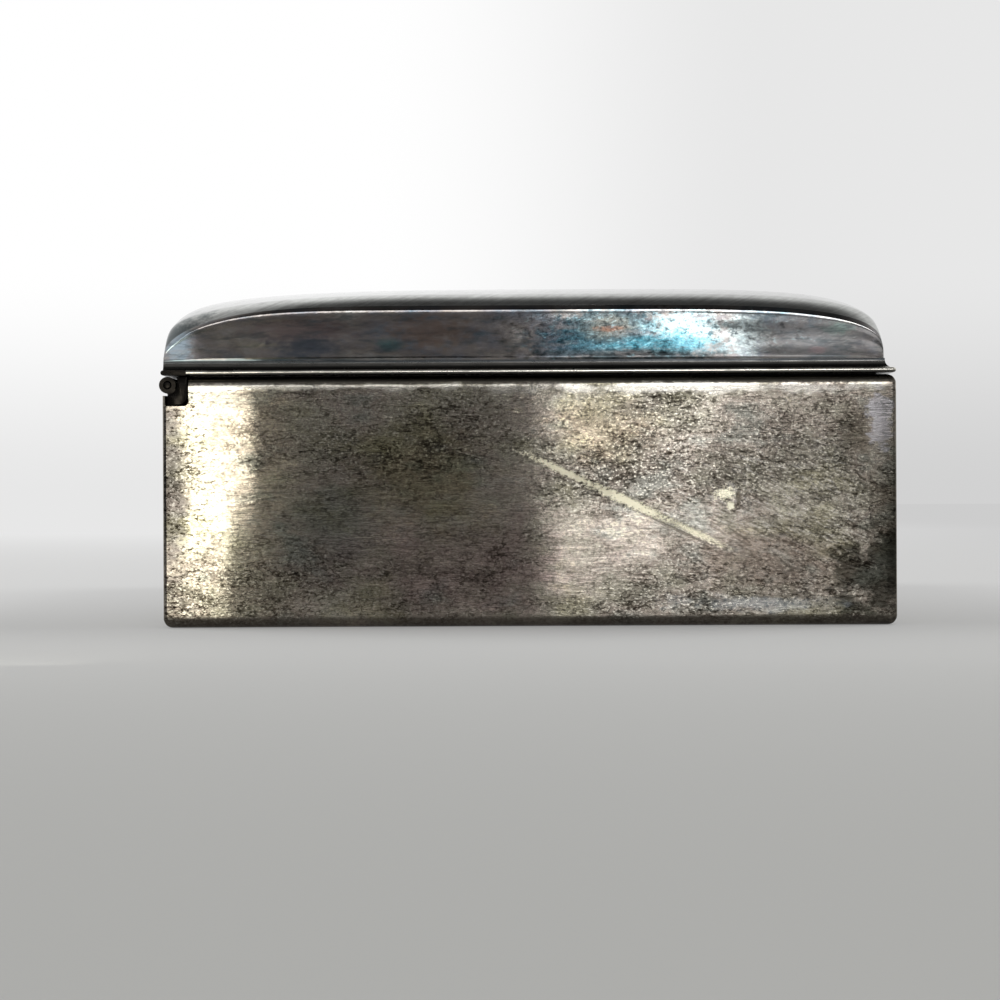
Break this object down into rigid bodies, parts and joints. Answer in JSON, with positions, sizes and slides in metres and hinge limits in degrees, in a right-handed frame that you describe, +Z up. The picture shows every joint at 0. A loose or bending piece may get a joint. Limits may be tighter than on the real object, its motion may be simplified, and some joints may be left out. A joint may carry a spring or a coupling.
{
  "type": "cigar box",
  "caption": "Rectangular silver table box: cushioned lid on a long pin hinge, flange and cove moulding that forms a lifting lip, cedar lining with a divider.",
  "frame": {"origin": "middle of the face that the box stands on", "axes": "+X along the length and the hinge, +Y from the lifting lip to the hinge, +Z up"},
  "size_m": [0.22, 0.1456, 0.0712],
  "materials": {
    "body_silver": "silver, tarnished brown-grey, brushed and worn",
    "lid_silver": "silver, smooth, tarnished with blue, teal and brown tints",
    "hinge_silver": "silver, dark tarnish, drawn",
    "cedar": "Spanish cedar, planed, unvarnished"
  },
  "bodies": {
    "body": {"front_wall": "body_silver", "rear_wall": "body_silver", "left_wall": "body_silver", "right_wall": "body_silver", "base_plate": "body_silver", "body_hinge_bearer": "hinge_silver", "body_knuckle_1": "hinge_silver", "body_knuckle_2": "hinge_silver", "body_knuckle_3": "hinge_silver", "body_knuckle_4": "hinge_silver", "body_knuckle_5": "hinge_silver", "hinge_pin": "hinge_silver", "front_lining": "cedar", "rear_lining": "cedar", "left_lining": "cedar", "right_lining": "cedar", "floor_lining": "cedar", "divider": "cedar"},
    "lid": {"lid_top_sheet": "lid_silver", "lid_left_end": "lid_silver", "lid_right_end": "lid_silver", "lid_front_moulding": "lid_silver", "lid_left_moulding": "lid_silver", "lid_right_moulding": "lid_silver", "lid_hinge_bearer": "hinge_silver", "lid_knuckle_1": "hinge_silver", "lid_knuckle_2": "hinge_silver", "lid_knuckle_3": "hinge_silver", "lid_knuckle_4": "hinge_silver"}
  },
  "joints": [
    {"name": "lid_hinge", "type": "hinge", "parent": "body", "child": "lid", "pos_m": [0, 0.0715, 0.048], "axis": [-1, 0, 0], "range_deg": [0, 110]}
  ]
}
